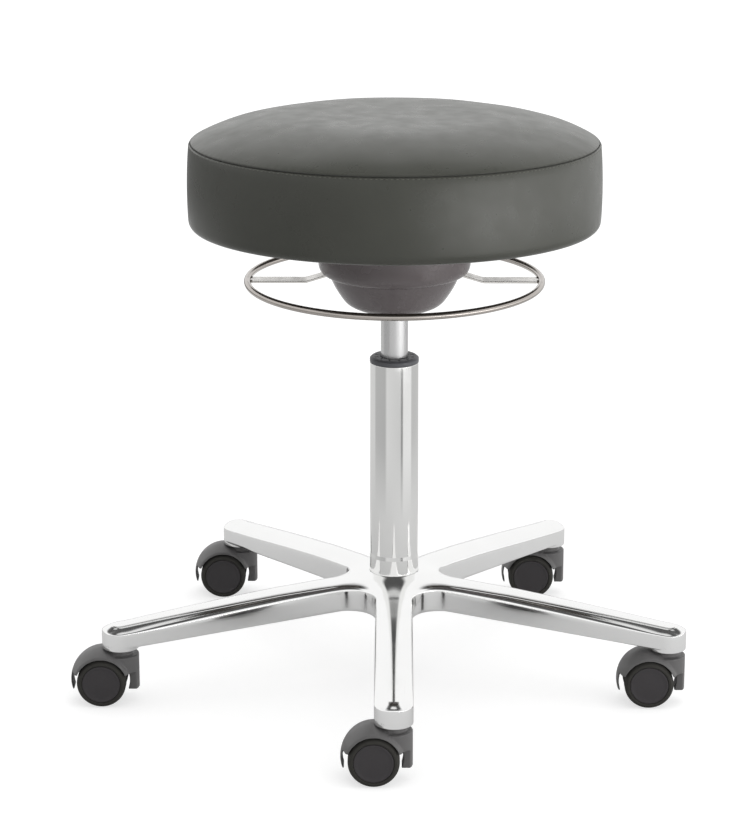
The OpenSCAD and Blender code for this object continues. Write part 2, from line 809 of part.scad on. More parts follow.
base_star();
column_tube();
guide_bush();
castor_stems();
piston_rod();
piston();
thrust_bearing();
rod_clip();
pressure_tube();
tube_gland();
mech_socket();
bowl_cover();
cup_cover();
cover_screws();
stop_ring();
rocker_pin();
socket_bushes();
release_pin();
release_rocker();
ring_wire();
lever_spokes();
gimbal_cross();
gimbal_pins();
seat_plate();
plate_bushes();
seat_board();
seat_foam();
cover_top();
cover_side();
seat_screws();
for (k = [1:arms]) {
    at_stem(k) castor_hood();
    at_wheel(k) castor_axle();
    at_wheel(k) wheel_core();
    at_wheel(k) mirror([0, 1, 0]) wheel_core();
    at_wheel(k) wheel_tread();
    at_wheel(k) mirror([0, 1, 0]) wheel_tread();
}
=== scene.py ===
import math

import bmesh
import bpy
from mathutils import Matrix, Vector, noise
from mathutils.bvhtree import BVHTree


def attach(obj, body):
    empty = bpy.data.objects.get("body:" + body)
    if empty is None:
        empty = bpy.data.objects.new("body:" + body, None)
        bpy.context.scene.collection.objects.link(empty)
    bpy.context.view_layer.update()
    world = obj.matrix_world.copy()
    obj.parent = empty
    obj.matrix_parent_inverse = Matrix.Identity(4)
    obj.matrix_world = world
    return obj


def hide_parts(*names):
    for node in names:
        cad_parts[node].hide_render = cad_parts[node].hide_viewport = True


# Balance stool: the looks of every piece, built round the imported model. Lengths are written in
# millimetres and turned to metres where a mesh is made.
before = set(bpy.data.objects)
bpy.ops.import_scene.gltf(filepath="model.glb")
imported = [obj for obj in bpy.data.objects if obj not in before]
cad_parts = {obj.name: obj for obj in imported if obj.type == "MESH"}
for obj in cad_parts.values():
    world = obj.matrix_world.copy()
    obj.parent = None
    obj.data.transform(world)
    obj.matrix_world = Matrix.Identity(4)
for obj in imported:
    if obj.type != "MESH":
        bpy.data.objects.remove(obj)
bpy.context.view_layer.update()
scene = bpy.context.scene
MM = 0.001
ARMS = 5
FRONT = -90             # where the first arm points, in degrees
SHARP = 32              # edges that bend by more degrees than this stay crisp
SAME_POINT = 0.02       # points closer than this are welded
ON_AXIS = 1e-6          # a smaller radius lies on the axis
CORNER_SHARE = 0.49     # a rounding takes less than half of the side next to it


# Shapes

def smoothed(mesh, sharp):
    """Shades the mesh smooth but for the edges sharper than the given angle."""
    mesh.shade_smooth()
    mesh.set_sharp_from_angle(angle=math.radians(sharp))


def new_object(name, mesh, sharp=SHARP):
    smoothed(mesh, sharp)
    obj = bpy.data.objects.new(name, mesh)
    scene.collection.objects.link(obj)
    return obj


def shape(name, points, faces, sharp=SHARP):
    """An object from points in millimetres and faces, with doubled points welded."""
    mesh = bpy.data.meshes.new(name)
    mesh.from_pydata([[c * MM for c in p] for p in points], [], faces)
    bm = bmesh.new()
    bm.from_mesh(mesh)
    bmesh.ops.remove_doubles(bm, verts=bm.verts, dist=SAME_POINT * MM)
    bmesh.ops.recalc_face_normals(bm, faces=bm.faces)
    bm.to_mesh(mesh)
    bm.free()
    return new_object(name, mesh, sharp)


def rounded(corners, steps=5):
    """Points of an outline whose corners (x, y, radius) are rounded."""
    line = []
    for i, (x, y, r) in enumerate(corners):
        if r == 0:
            line.append((x, y))
            continue
        here = Vector((x, y))
        to_last = Vector(corners[i - 1][:2]) - here
        to_next = Vector(corners[(i + 1) % len(corners)][:2]) - here
        half = to_last.angle(to_next) / 2
        most = min(to_last.length * CORNER_SHARE, to_next.length * CORNER_SHARE)
        reach = min(r / math.tan(half), most)
        a = here + to_last.normalized() * reach
        b = here + to_next.normalized() * reach
        for k in range(steps + 1):
            t = k / steps
            line.append(tuple(a * (1 - t) ** 2 + here * 2 * t * (1 - t) + b * t * t))
    return line


def spline(points):
    """A smooth line through the points."""
    line = []
    steps, last = 6, len(points) - 1
    for i in range(last):
        p0, p1, p2, p3 = (Vector(points[min(max(i + k, 0), last)]) for k in (-1, 0, 1, 2))
        for k in range(steps):
            t = k / steps
            bend = (2 * p0 - 5 * p1 + 4 * p2 - p3) * t * t
            line.append(tuple(0.5 * (2 * p1 + (p2 - p0) * t + bend
                                     + (3 * p1 - p0 - 3 * p2 + p3) * t ** 3)))
    line.append(tuple(points[-1]))
    return line


def circle(x, y, r, step):
    """Points round a centre, one every step degrees."""
    return [(x + r * math.cos(math.radians(a)), y + r * math.sin(math.radians(a)))
            for a in range(0, 360, step)]


def lathe(name, line, steps):
    """The closed line (radius, height) turned round the z axis."""
    points, faces = [], []
    rows = len(line)
    for i in range(steps):
        a = 2 * math.pi * i / steps
        points += [(r * math.cos(a), r * math.sin(a), z) for r, z in line]
    for i in range(steps):
        here, ahead = i * rows, (i + 1) % steps * rows
        for k in range(rows):
            m = (k + 1) % rows
            on_axis = [v for v in (k, m) if line[v][0] < ON_AXIS]
            if len(on_axis) == 2:
                continue
            if on_axis:
                faces.append([here + k, ahead + (m if on_axis[0] == k else k), here + m])
            else:
                faces.append([here + k, ahead + k, ahead + m, here + m])
    return shape(name, points, faces)


def cylinder(r, low, high, steps=96):
    """A closed cylinder on the z axis, for joining and cutting."""
    return lathe("cylinder", [(0, low), (r, low), (r, high), (0, high)], steps)


def box(x, y, z):
    """A closed box between two corners, for cutting."""
    points = [(x[i], y[j], z[k]) for i in (0, 1) for j in (0, 1) for k in (0, 1)]
    faces = [(0, 1, 3, 2), (4, 6, 7, 5), (0, 4, 5, 1), (2, 3, 7, 6), (0, 2, 6, 4), (1, 5, 7, 3)]
    return shape("cutter", points, faces)


def beside(side, near, far):
    """The stretch from near to far on one side of the middle, which is 1 or -1."""
    return sorted((near * side, far * side))


def combine(obj, other, how):
    """Joins other to obj, cuts it out or keeps what they share, and deletes other."""
    cutter = obj.modifiers.new("cut", "BOOLEAN")
    cutter.operation = how
    cutter.object = other
    cutter.solver = "EXACT"
    apply_modifiers(obj)
    bpy.data.objects.remove(other)


def apply_modifiers(obj, sharp=SHARP):
    """Gives the object the mesh that its modifiers make, and drops them."""
    bpy.context.view_layer.update()
    graph = bpy.context.evaluated_depsgraph_get()
    done = bpy.data.meshes.new_from_object(obj.evaluated_get(graph))
    obj.modifiers.clear()
    obj.data = done
    smoothed(done, sharp)
    return obj


def turned(obj, angle, axis="Z"):
    """Turns the mesh itself by an angle in degrees."""
    obj.data.transform(Matrix.Rotation(math.radians(angle), 4, axis))
    return obj


def moved(obj, x, y, z):
    """Moves the mesh itself."""
    obj.data.transform(Matrix.Translation(Vector((x, y, z)) * MM))
    return obj


def merged(name, parts, sharp=SHARP):
    """One object from several."""
    bm = bmesh.new()
    for part in parts:
        bm.from_mesh(part.data)
        bpy.data.objects.remove(part)
    mesh = bpy.data.meshes.new(name)
    bm.to_mesh(mesh)
    bm.free()
    return new_object(name, mesh, sharp)


def arm_angle(k):
    """The direction of arm k in radians, counted from 0."""
    return math.radians(FRONT + 360 / ARMS * k)


def mix(a, b, t):
    return a + (b - a) * t


def step(low, high, x):
    """A smooth rise from 0 at low to 1 at high."""
    t = min(max((x - low) / (high - low), 0), 1)
    return t * t * (3 - 2 * t)


def table(pairs, x):
    """The value at x on straight lines between the pairs."""
    for (x0, y0), (x1, y1) in zip(pairs, pairs[1:]):
        if x <= x1:
            return mix(y0, y1, max(x - x0, 0) / (x1 - x0))
    return pairs[-1][1]


# Nodes and colours

def srgb(r, g, b):
    """A colour as it is seen, from 0 to 255, as the shader needs it."""
    return tuple(((c / 255 + 0.055) / 1.055) ** 2.4 for c in (r, g, b)) + (1,)


def grey(level):
    return (level, level, level, 1)


def node_maker(tree):
    """A short way to add a node, set its sockets and link others into them."""
    def add(kind, inputs=(), **settings):
        node = tree.nodes.new(kind)
        for key, value in settings.items():
            setattr(node, key, value)
        for key, value in dict(inputs).items():
            if isinstance(value, bpy.types.NodeSocket):
                tree.links.new(value, node.inputs[key])
            else:
                node.inputs[key].default_value = value
        return node
    return add


def empty_tree(owner):
    """Clears the nodes of a material or world and gives a maker for new ones."""
    owner.use_nodes = True
    owner.node_tree.nodes.clear()
    return node_maker(owner.node_tree)


def blend(add, factor, a, b):
    """A colour from a to b."""
    inputs = {"Factor": factor, "A": a, "B": b}
    return add("ShaderNodeMix", inputs, data_type="RGBA").outputs["Result"]


def spread(add, value, low, high, to_low=0, to_high=1):
    """The value's range from low to high, spread from to_low to to_high and kept there."""
    inputs = {"Value": value, "From Min": low, "From Max": high, "To Min": to_low,
              "To Max": to_high}
    return add("ShaderNodeMapRange", inputs).outputs["Result"]


def reckon(add, how, *values):
    return add("ShaderNodeMath", dict(enumerate(values)), operation=how).outputs[0]


def grey_ramp(add, value, stops):
    """Grey levels at places from 0 to 1 along a colour ramp. The first stop is its start and the
    second its end."""
    node = add("ShaderNodeValToRGB", {"Fac": value})
    ramp = node.color_ramp
    for i, (position, level) in enumerate(stops):
        stop = ramp.elements[i] if i < 2 else ramp.elements.new(position)
        stop.position = position
        stop.color = grey(level)
    return node.outputs["Color"]


# Materials

LEAST_ROUGH = 0.02
SEEDS = (1.5, 4.0, 7.0)    # of the colour's, the gloss's and the grain's noise


def material(name, colour, rough, metal=0.0, mottle=0.06, size=25, rough_span=0.05,
             grain=0.0, grain_size=0.8, specular=0.5, stretch=(1, 1, 1)):
    """A finish whose colour and gloss wander over the piece, with a fine grain in its surface.
    size and grain_size are in millimetres, and grain is the depth of the grain in millimetres."""
    mat = bpy.data.materials.new(name)
    mat.use_nodes = True
    add, link = node_maker(mat.node_tree), mat.node_tree.links.new
    shader = mat.node_tree.nodes["Principled BSDF"].inputs
    shader["Metallic"].default_value = metal
    shader["Specular IOR Level"].default_value = specular
    place = add("ShaderNodeTexCoord").outputs["Object"]
    scaled = add("ShaderNodeMapping", {"Vector": place, "Scale": stretch}).outputs["Vector"]

    def wander(scale, detail, seed):
        inputs = {"Vector": scaled, "W": seed, "Scale": 1 / (scale * MM), "Detail": detail}
        return add("ShaderNodeTexNoise", inputs, noise_dimensions="4D").outputs["Fac"]

    darker = [c * (1 - mottle) for c in colour[:3]] + [1]
    lighter = [min(c * (1 + mottle), 1) for c in colour[:3]] + [1]
    link(blend(add, wander(size, 3, SEEDS[0]), darker, lighter), shader["Base Color"])
    smoother, rougher = max(rough - rough_span, LEAST_ROUGH), rough + rough_span
    link(spread(add, wander(size * 0.6, 2, SEEDS[1]), 0.3, 0.7, smoother, rougher),
         shader["Roughness"])
    if grain:
        bump = add("ShaderNodeBump", {"Strength": 1.0, "Distance": grain * MM,
                                      "Height": wander(grain_size, 2, SEEDS[2])})
        link(bump.outputs["Normal"], shader["Normal"])
    return mat


LEATHERETTE = material("leatherette", srgb(68, 69, 63), 0.30, mottle=0.10, size=30,
                       rough_span=0.04, grain=0.012, grain_size=0.7, specular=0.38)
# Painted shade: the colour of the dark cord in the seam, which stands in for the shadow in the
# seam's gap.
SEAM_SHADE = material("painted_seam_shade", srgb(44, 44, 41), 0.7, grain=0.05, grain_size=0.4)
THREAD = material("thread", srgb(96, 96, 89), 0.6, grain=0.05, grain_size=0.3)
HOUSING = material("housing_plastic", srgb(101, 94, 95), 0.26, mottle=0.05, size=30,
                   grain=0.012, grain_size=0.5, specular=0.65)
WIRE = material("bright_wire", (0.48, 0.445, 0.415, 1), 0.16, metal=1, mottle=0.04, size=12,
                rough_span=0.04, grain=0.004, grain_size=0.8)
STRIP = material("bright_strip", (0.78, 0.76, 0.73, 1), 0.24, metal=1, mottle=0.04, size=12,
                 grain=0.006, grain_size=0.7)
WELD = material("weld", (0.30, 0.27, 0.24, 1), 0.35, metal=1, mottle=0.25, size=2,
                grain=0.05, grain_size=0.9)
CHROME = material("chrome", (0.86, 0.86, 0.85, 1), 0.07, metal=1, mottle=0.02, size=40,
                  rough_span=0.02, grain=0.002, grain_size=3)
PAINT = material("spring_paint", grey(0.66), 0.26, metal=1, mottle=0.04, size=25,
                 grain=0.004, grain_size=0.5, stretch=(1, 1, 0.15))
COLLAR = material("collar_plastic", srgb(88, 89, 93), 0.42, mottle=0.05, size=12,
                  grain=0.02, grain_size=0.4)
ALUMINIUM = material("polished_aluminium", (0.93, 0.93, 0.925, 1), 0.12, metal=1, mottle=0.025,
                     size=35, rough_span=0.03, grain=0.008, grain_size=9)
HOOD = material("hood_plastic", srgb(98, 97, 97), 0.42, mottle=0.06, size=15,
                grain=0.02, grain_size=0.5)
CORE = material("wheel_plastic", srgb(54, 51, 53), 0.5, mottle=0.05, size=15,
                grain=0.02, grain_size=0.5)
TREAD = material("tread", srgb(56, 55, 52), 0.7, specular=0.25, mottle=0.08, size=10,
                 rough_span=0.08, grain=0.03, grain_size=0.6)
ZINC = material("zinc", (0.55, 0.55, 0.54, 1), 0.32, metal=1, mottle=0.12, size=4,
                grain=0.01, grain_size=0.4)
MECHANISM = material("mechanism_metal", srgb(92, 96, 102), 0.5, mottle=0.1, size=10,
                     grain=0.05, grain_size=0.7)
RUBBER = material("black_rubber", srgb(38, 38, 38), 0.65, mottle=0.1, size=8,
                  grain=0.03, grain_size=0.5)
PLATE = material("plate_steel", srgb(52, 52, 54), 0.42, mottle=0.08, size=18,
                 grain=0.02, grain_size=0.5)
PLYWOOD = material("plywood", srgb(62, 57, 52), 0.6, mottle=0.22, size=60, rough_span=0.08,
                   grain=0.08, grain_size=1.5, stretch=(1, 0.12, 3))


def dress(obj, mat, body, slot, *nodes):
    """Gives a piece its material and the body it rides on, and hides the nodes it stands for. The
    slot is not used.
    """
    obj.data.materials.clear()
    obj.data.materials.append(mat)
    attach(obj, body)
    if nodes:
        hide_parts(*nodes)


# Base casting

ARM_HALF = 19.0                                     # half an arm's width
TIP = 293.0                                         # centre of an arm's round end
END_R = 312                                         # an arm's end
WEB_R = 28.0                                        # the web between two arms is round
HALF_STEP = math.radians(180 / ARMS)
WEB_AT = (ARM_HALF + WEB_R) / math.sin(HALF_STEP)   # the web's centre, from the hub's
WEB_FOOT = WEB_AT * math.cos(HALF_STEP)             # the arm's straight side begins here
WEB_Y = WEB_AT * math.sin(HALF_STEP)
HUB_R = 25.5
HUB_SHARE = 0.55                                    # this share of the web has sections to the hub
FOOT_BORE = 5.6                                     # hole for the castor's stem

# Pairs (distance from the hub, value). PANEL_IN is the panel's distance from the outline, CREST
# the height of the middle line, SHOULDER how far the shoulder falls, UNDERSIDE the lower edge.
PANEL_IN = [(0, 4.5), (78, 4.5), (285, 9.5), (END_R, 8.5)]
CREST = [(25.5, 110.6), (29, 109.5), (34, 108.4), (42, 107.2), (52, 106.3), (80, 105.0),
         (126, 101.8), (169, 97.6), (212, 93), (254, 88.2), (284, 84.5), (298, 83.3), (END_R, 82.6)]
SHOULDER = [(0, 9.5), (70, 10.5), (110, 12.3), (215, 12.3), (254, 10.2), (285, 7.5), (END_R, 6.6)]
UNDERSIDE = [(0, 77), (WEB_FOOT, 77), (TIP, 61.4), (END_R, 61.4)]
PANEL_SLOPE, STEP_SLOPE = 0.175, 0.42               # fall to the panel's rim, and beyond it
EDGE_POWER = 4.0                                    # how square the shoulder is
LEAST_EDGE = 1.2                                    # how far its rounding falls at least
LINE_DEPTH, LINE_WIDTH = 0.28, 0.5                  # the fine line round the panel
LINE_START = (60, 82)                               # it deepens between these distances
POCKET_DEPTH = 11                                   # the hollow under an arm
POCKET_START, POCKET_END = (78, 95), (262, 276)

# Places along a section: over the panel, by its rim in millimetres, over the shoulder, down the
# wall, and inwards along the underside as (millimetres, rise, share of the pocket's depth).
NEAR_RIM = 1.3
PANEL_SHARES = (1, 0.88, 0.75, 0.62, 0.5, 0.38, 0.26, 0.14, 0)
RIM_PLACES = (0.75, 0.35, 0, -0.35, -0.75, -NEAR_RIM)
SHOULDER_SHARES = (0.85, 0.7, 0.55, 0.42, 0.3, 0.2, 0.12, 0.06, 0.02, 0)
WALL_SHARES = (0.3, 0.6, 0.85)
SOLE = ((0, 1), (0.35, 0.3), (1, 0), (3, 0))
POCKET_SIDE = ((3.6, 0.3, 0), (4, 1, 0.1), (4.6, 0, 0.8), (6.5, 0, 1), (11, 0, 1))


def casting_top(x, y, d):
    """Height of the casting's top at a point d inside its outline: a gently crowned panel that
    narrows towards the tip, a fine line round it, and a rounded shoulder outside the line."""
    r = math.hypot(x, y)
    panel = table(PANEL_IN, r)
    half = ARM_HALF - panel
    t = min((abs(y) if x > TIP else max(ARM_HALF - d, 0)) / half, 1)
    line = LINE_DEPTH * step(*LINE_START, r) * math.exp(-((d - panel) / LINE_WIDTH) ** 2)
    top = table(CREST, r) - PANEL_SLOPE * half * t ** 2 - line
    if d > panel:
        return top
    u = min(max(1 - d / panel, 0), 1)
    left = table(SHOULDER, r) - PANEL_SLOPE * half * t ** 2
    slope = min(STEP_SLOPE * panel, left - LEAST_EDGE)
    return top - slope * u - (left - slope) * (1 - (1 - u ** EDGE_POWER) ** (1 / EDGE_POWER))


def casting_stations():
    """Points on the outline of half an arm, each with the end of its section on the middle line."""
    stations = []
    web_steps, arm_steps, tip_steps = 18, 46, 12
    for i in range(web_steps):
        u = i / web_steps
        a = math.radians(180) + HALF_STEP + u * (math.pi / 2 - HALF_STEP)
        p = (WEB_FOOT + WEB_R * math.cos(a), WEB_Y + WEB_R * math.sin(a))
        if u < HUB_SHARE:
            b = HALF_STEP * (1 - u / HUB_SHARE)
            end = (HUB_R * math.cos(b), HUB_R * math.sin(b))
        else:
            end = (mix(HUB_R, WEB_FOOT, (u - HUB_SHARE) / (1 - HUB_SHARE)), 0)
        stations.append((p, end))
    for i in range(arm_steps + 1):
        x = mix(WEB_FOOT, TIP, 1 - (1 - i / arm_steps) ** 1.25)
        stations.append(((x, ARM_HALF), (x, 0)))
    for i in range(1, tip_steps + 1):
        a = math.pi / 2 * (1 - i / tip_steps)
        stations.append(((TIP + ARM_HALF * math.cos(a), ARM_HALF * math.sin(a)), (TIP, 0)))
    return stations


def inside_by(x, y):
    """How far a point is inside the outline."""
    if x > TIP:
        return ARM_HALF - math.hypot(x - TIP, y)
    if x < WEB_FOOT:
        return math.hypot(x - WEB_FOOT, y - WEB_Y) - WEB_R
    return ARM_HALF - y


def casting_section(p, end):
    """Points from the middle of the top, over the shoulder and down the wall, to the underside."""
    length = math.hypot(end[0] - p[0], end[1] - p[1])
    along = ((end[0] - p[0]) / length, (end[1] - p[1]) / length)

    def at(d):
        return (p[0] + along[0] * d, p[1] + along[1] * d)

    r = math.hypot(*p)
    panel = min(table(PANEL_IN, r) / length, 0.6)
    shares = [mix(panel + NEAR_RIM / length, 1, t) for t in PANEL_SHARES]
    shares += [panel + t / length for t in RIM_PLACES]
    shares += [(panel - NEAR_RIM / length) * t for t in SHOULDER_SHARES]
    points = []
    for share in shares:
        x, y = at(length * share)
        points.append((x, y, casting_top(x, y, max(inside_by(x, y), 0))))
    low = table(UNDERSIDE, r)
    wall = points[-1][2]
    points += [(p[0], p[1], mix(wall, low + 1, t)) for t in WALL_SHARES]
    points += [(*at(min(d, length)), low + rise) for d, rise in SOLE]
    pocket = POCKET_DEPTH * step(*POCKET_START, r) * (1 - step(*POCKET_END, r))
    for d, rise, share in POCKET_SIDE + ((length, 0, 1),):
        points.append((*at(min(d, length)), low + min(rise + pocket * share, pocket)))
    return points


def half_arm():
    points, faces = [], []
    rows = [casting_section(p, end) for p, end in casting_stations()]
    width = len(rows[0])
    for row in rows:
        points += row
    for i in range(len(rows) - 1):
        here, ahead = i * width, (i + 1) * width
        for k in range(width - 1):
            faces.append((here + k, ahead + k, ahead + k + 1, here + k + 1))
    return points, faces


def base_casting():
    """Five arms from ten half arms, the round foot over each castor and the hub's lower end."""
    points, faces = half_arm()
    all_points, all_faces = [], []
    for k in range(ARMS):
        c, s = math.cos(arm_angle(k)), math.sin(arm_angle(k))
        for side in (1, -1):
            start = len(all_points)
            all_points += [(x * c - y * side * s, x * s + y * side * c, z) for x, y, z in points]
            all_faces += [[start + v for v in f] for f in faces]
    parts = [shape("base_casting", all_points, all_faces, sharp=40)]
    foot = rounded([(FOOT_BORE, 58, 0), (ARM_HALF, 58, 1.2), (ARM_HALF, 66, 0), (FOOT_BORE, 66, 0)])
    for k in range(ARMS):
        a = arm_angle(k)
        parts.append(moved(lathe("foot", foot, 64), TIP * math.cos(a), TIP * math.sin(a), 0))
    hub = rounded([(21.6, 75, 0.5), (32, 75, 1), (32, 79, 0), (21.6, 79, 0)])
    parts.append(lathe("hub", hub, 96))
    return merged("base_casting", parts, sharp=40)


dress(base_casting(), ALUMINIUM, "base", "cast_aluminium", "base_star")


# Column and gas spring

COLUMN_LINE = rounded([(22.8, 110.3, 0), (25.3, 110.3, 0.3), (25.55, 112, 0.8), (25.5, 127, 1.5),
                       (25.0, 131, 2), (25.0, 335.4, 0.5), (23.2, 335.4, 0.3), (23.2, 300, 0)])
COLLAR_LINE = rounded([(14.15, 256, 0.4), (22.8, 256, 0.8), (22.8, 335.5, 0), (25.1, 335.6, 0.4),
                       (25.1, 339.6, 0.5), (22.9, 341.5, 1.2), (15.6, 341.5, 0.6),
                       (14.15, 340.6, 0.4)])
COLLAR_SLOT = ((17.0, 20.6), (-1.0, 1.0), (339.9, 343))
ROUND_STEPS = 192       # how many steps make a large smooth round piece


def guide_collar():
    """The plastic collar on the column, with small slots round the spring, and its sleeve."""
    collar = lathe("guide_collar", COLLAR_LINE, ROUND_STEPS)
    for angle in range(15, 360, 30):
        combine(collar, turned(box(*COLLAR_SLOT), angle), "DIFFERENCE")
    return collar


dress(lathe("column_tube", COLUMN_LINE, ROUND_STEPS), CHROME, "base", "chrome_tube",
      "column_tube")
dress(guide_collar(), COLLAR, "base", "collar_plastic", "guide_bush")


# Housing

# Lines (radius, height) up the outside and down the inside of the lower bowl and the upper cup
BOWL_OUTSIDE = [(28, 391), (33.3, 392.0), (42.7, 395.2), (50.1, 400.2), (57.1, 409.8),
                (62.6, 419.5), (65.9, 427.6)]
BOWL_RIM = [(65.7, 428.0), (62.95, 428.0), (62.95, 431), (60, 431), (60, 427.6)]
BOWL_INSIDE = [(62.9, 427.4), (59.4, 419.5), (54.1, 410.8), (47.4, 402.9), (40.5, 398.4), (28, 394)]
CUP_OUTSIDE = [(66.3, 428.2), (67.6, 428.25), (70.3, 428.9), (74.2, 431.4), (76.6, 435.7),
               (77.3, 441), (77.7, 450), (78, 459.2)]
CUP_RIM = [(77.9, 459.8), (77.4, 460), (75.6, 460), (75.1, 459.7), (75, 459.2)]
CUP_INSIDE = [(75, 447), (60, 447), (60, 444), (74.3, 444), (73.8, 437), (71.8, 433.4),
              (69, 431.4), (66, 431.0), (63.1, 431.0), (63.1, 428.4), (63.5, 428.15)]
SLOT_R, SLOT_HALF, SLOT_Z = (58, 90), 10.6, (424, 437.1)


def spoke_slots(obj):
    """Cuts the two slots that the ring lever's spokes run through."""
    for side in (-1, 1):
        slot = box(beside(side, *SLOT_R), (-SLOT_HALF, SLOT_HALF), SLOT_Z)
        combine(obj, slot, "DIFFERENCE")
    return obj


def bowl_cover():
    line = [(14.6, 391.6), (15.2, 391)] + spline(BOWL_OUTSIDE) + BOWL_RIM
    return lathe("bowl_cover", line + spline(BOWL_INSIDE)[1:] + [(14.6, 394)], ROUND_STEPS)


def cup_cover():
    return lathe("cup_cover", spline(CUP_OUTSIDE) + CUP_RIM + CUP_INSIDE, ROUND_STEPS)


dress(spoke_slots(bowl_cover()), HOUSING, "lift", "housing_plastic", "bowl_cover")
dress(spoke_slots(cup_cover()), HOUSING, "lift", "housing_plastic", "cup_cover")


# Ring lever

RING_R, RING_Z, WIRE_R = 149.3, 421.0, 3.5
CARRIER_Z = 430.5                         # the spokes' height inside the housing
SPOKE_WIDTH, SPOKE_THICK, SPOKE_EDGE = 20, 2, 0.35
SPOKE_END = RING_R - 3.3
BEAD_R, BEAD_HALF = 1.5, 3.4              # a weld bead's radius and half its length
BEAD_X, BEAD_Y, BEAD_Z = RING_R - 3.9, 7.4, RING_Z + 0.2


def strip(path, width, thick):
    """A flat strip with softened edges along a path of (x, z) points, rounded at its bends."""
    line = [Vector(p) for p in path]
    last = len(line) - 1
    half, t, e = width / 2, thick / 2, SPOKE_EDGE
    outline = [(-half + e, -t), (half - e, -t), (half, -t + e), (half, t - e), (half - e, t),
               (-half + e, t), (-half, t - e), (-half, -t + e)]
    points, faces = [], []
    for i, p in enumerate(line):
        ahead = (line[min(i + 1, last)] - line[max(i - 1, 0)]).normalized()
        up = Vector((-ahead.y, ahead.x))
        points += [(p.x + up.x * v, u, p.y + up.y * v) for u, v in outline]
    n = len(outline)
    for i in range(last):
        for k in range(n):
            m = (k + 1) % n
            faces.append((i * n + k, i * n + m, (i + 1) * n + m, (i + 1) * n + k))
    faces += [tuple(range(n)), tuple(range(last * n, (last + 1) * n))]
    return shape("strip", points, faces, 25)


def lever_spokes():
    """The two spokes and the flat ring that carries them in the housing."""
    path = rounded([(52, CARRIER_Z, 0), (59, CARRIER_Z, 6), (90, RING_Z, 14),
                    (SPOKE_END, RING_Z, 0)], 7)
    carrier = rounded([(42, 429.5, 0.3), (58, 429.5, 0.3), (58, 431.5, 0.3), (42, 431.5, 0.3)])
    parts = [lathe("carrier", carrier, 128)]
    for side in (0, 180):
        parts.append(turned(strip(path, SPOKE_WIDTH, SPOKE_THICK), side))
    return merged("lever_spokes", parts, 28)


def weld_beads():
    """A small rough bead on each edge of a spoke's end, beside the wire."""
    parts = []
    for side in (0, 180):
        for edge in (-1, 1):
            bm = bmesh.new()
            bmesh.ops.create_icosphere(bm, subdivisions=4, radius=1)
            for v in bm.verts:
                lumps = noise.noise(v.co * 3 + Vector((side, edge, 0)))
                ripple = 0.12 * math.sin(v.co.y * 14 + edge) + 0.10 * lumps
                v.co = Vector((v.co.x * BEAD_R, v.co.y * BEAD_HALF, v.co.z * BEAD_R)) * (1 + ripple)
                v.co = (v.co + Vector((BEAD_X, edge * BEAD_Y, BEAD_Z))) * MM
            mesh = bpy.data.meshes.new("bead")
            bm.to_mesh(mesh)
            bm.free()
            parts.append(turned(new_object("bead", mesh), side))
    return merged("weld_beads", parts)


dress(lathe("ring_wire", circle(RING_R, RING_Z, WIRE_R, 15), 256), WIRE, "lever", "bright_wire",
      "ring_wire")
dress(lever_spokes(), STRIP, "lever", "bright_wire", "lever_spokes")
dress(weld_beads(), WELD, "lever", "bright_wire")


# Castors

WHEEL_X, WHEEL_Z = -19, 25      # the wheels' axle, from the stem's axis and the floor
HOOD_HALF = 23.5                # half the hood's width
WALL_HALF = 5.5                 # half the wall between the wheels
SKIRT_Z = 34                    # the hood's openings reach up to here
SOFT_EDGE = 0.8                 # the hood's edges are moulded about this round
DOME_R, DOME_FALL = 32.3, 4.8   # the hood's radius in the middle, and how much less at its sides
RIM_Y, RIM_FALL = 21.5, 0.9     # beyond this the hood falls faster


def rod_y(y0, y1, r, steps=96):
    """A closed cylinder along the wheels' axle between two places, for joining and cutting."""
    return moved(turned(cylinder(r, -y1, -y0, steps), 90, "X"), WHEEL_X, 0, WHEEL_Z)


def castor_hood():
    """The hood over the twin wheels, in the frame of its stem, with moulded soft edges. The
    cutters reach well past the hood on the sides where they open it."""
    widths = [k * HOOD_HALF / 10 for k in range(-10, 11)]
    dome = [(DOME_R - DOME_FALL * (y / HOOD_HALF) ** 2 - RIM_FALL * max(abs(y) - RIM_Y, 0), y)
            for y in widths]
    line = [(0, dome[0][1])] + dome + [(0, dome[-1][1])]
    hood = moved(turned(lathe("hood", line, 160), 90, "X"), WHEEL_X, 0, WHEEL_Z)
    combine(hood, box((-90, 90), (-60, 60), (15, 90)), "INTERSECT")
    combine(hood, cylinder(18.5, 15, 51.5), "UNION")
    for side in (-1, 1):
        combine(hood, rod_y(*beside(side, WALL_HALF, 60), 26, 160), "DIFFERENCE")
        combine(hood, box((-90, 90), beside(side, 9, 60), (-20, SKIRT_Z)), "DIFFERENCE")
    wall = rod_y(-WALL_HALF, WALL_HALF, 20)
    back = rod_y(-30, 30, 30, 160)
    combine(back, box((-80, WHEEL_X + 2), (-40, 40), (-40, SKIRT_Z)), "INTERSECT")
    combine(hood, back, "DIFFERENCE")
    front = rod_y(-30, 30, 28.2, 160)
    combine(front, box((0, 20), (-40, 40), (-40, SKIRT_Z)), "INTERSECT")
    combine(hood, front, "DIFFERENCE")
    combine(hood, wall, "UNION")
    combine(hood, rod_y(-6.2, 6.2, 7), "UNION")
    combine(hood, cylinder(12, 48, 55.8), "UNION")
    combine(hood, cylinder(4.3, 30, 60, 48), "DIFFERENCE")
    combine(hood, rod_y(-30, 30, 3.3, 48), "DIFFERENCE")
    soft = hood.modifiers.new("soft", "REMESH")
    soft.mode = "VOXEL"
    soft.voxel_size = SOFT_EDGE * MM
    smooth = hood.modifiers.new("smooth", "SMOOTH")
    smooth.factor = 0.5
    smooth.iterations = 5
    return apply_modifiers(hood, 60)


